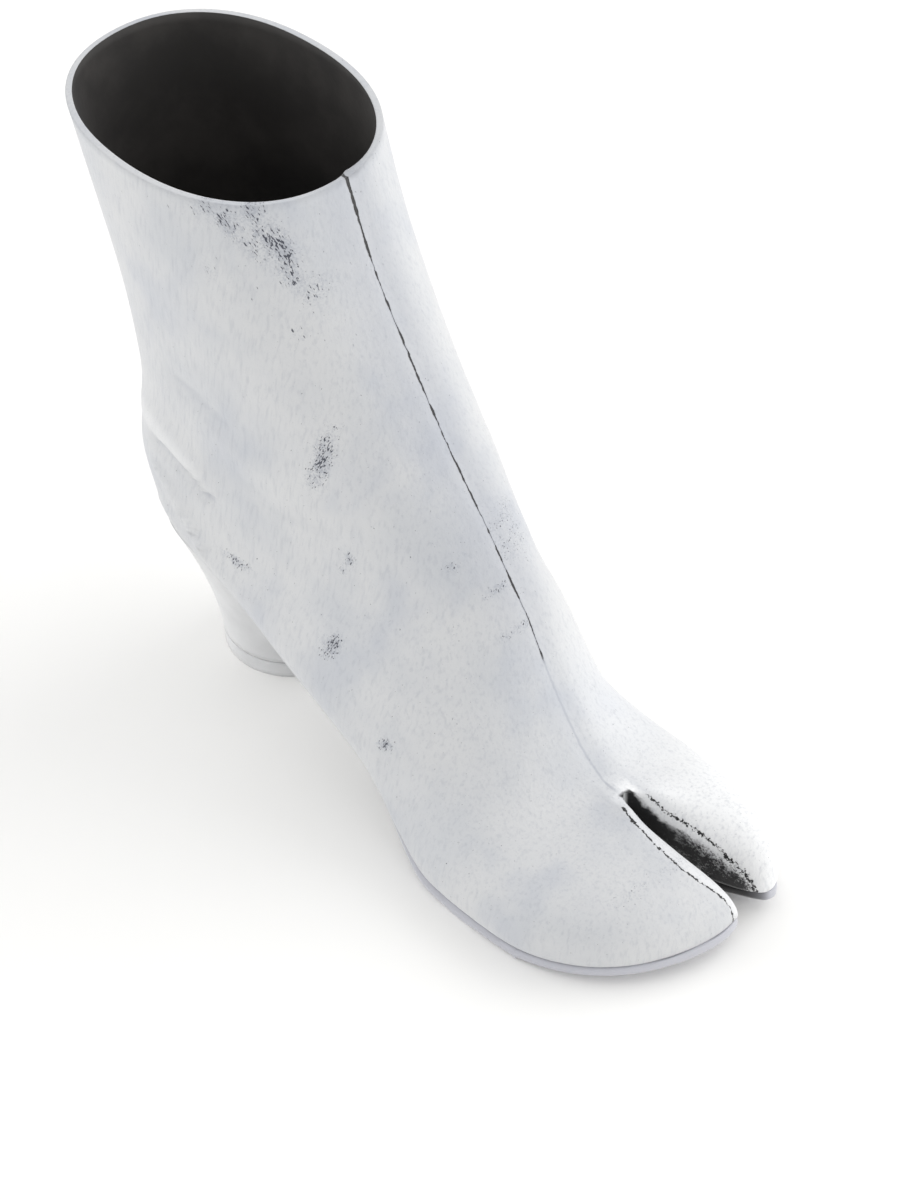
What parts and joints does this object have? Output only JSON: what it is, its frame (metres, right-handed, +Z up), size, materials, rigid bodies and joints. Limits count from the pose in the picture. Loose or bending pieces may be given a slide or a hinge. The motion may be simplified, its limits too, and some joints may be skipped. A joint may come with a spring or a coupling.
{
  "type": "split-toe ankle boot",
  "caption": "Heeled ankle boot with a separate big toe, thin sole, round covered heel and open collar; holds a right foot.",
  "frame": {"origin": "middle of the heel's ground face", "axes": "+X forward to the toes, +Y to the inner (big-toe) side, +Z up"},
  "size_m": [0.2523, 0.0879, 0.2093],
  "materials": {
    "upper": "matte white paint over black leather, cracked along the folds",
    "outsole": "matte painted edge",
    "insole": "plain dark leather board",
    "heel_block": "leather cover with matte white paint",
    "top_lift": "plain matte rubber"
  },
  "bodies": {
    "root": {"upper": "upper", "outsole": "outsole", "insole": "insole", "heel_block": "heel_block", "top_lift": "top_lift"}
  },
  "joints": []
}
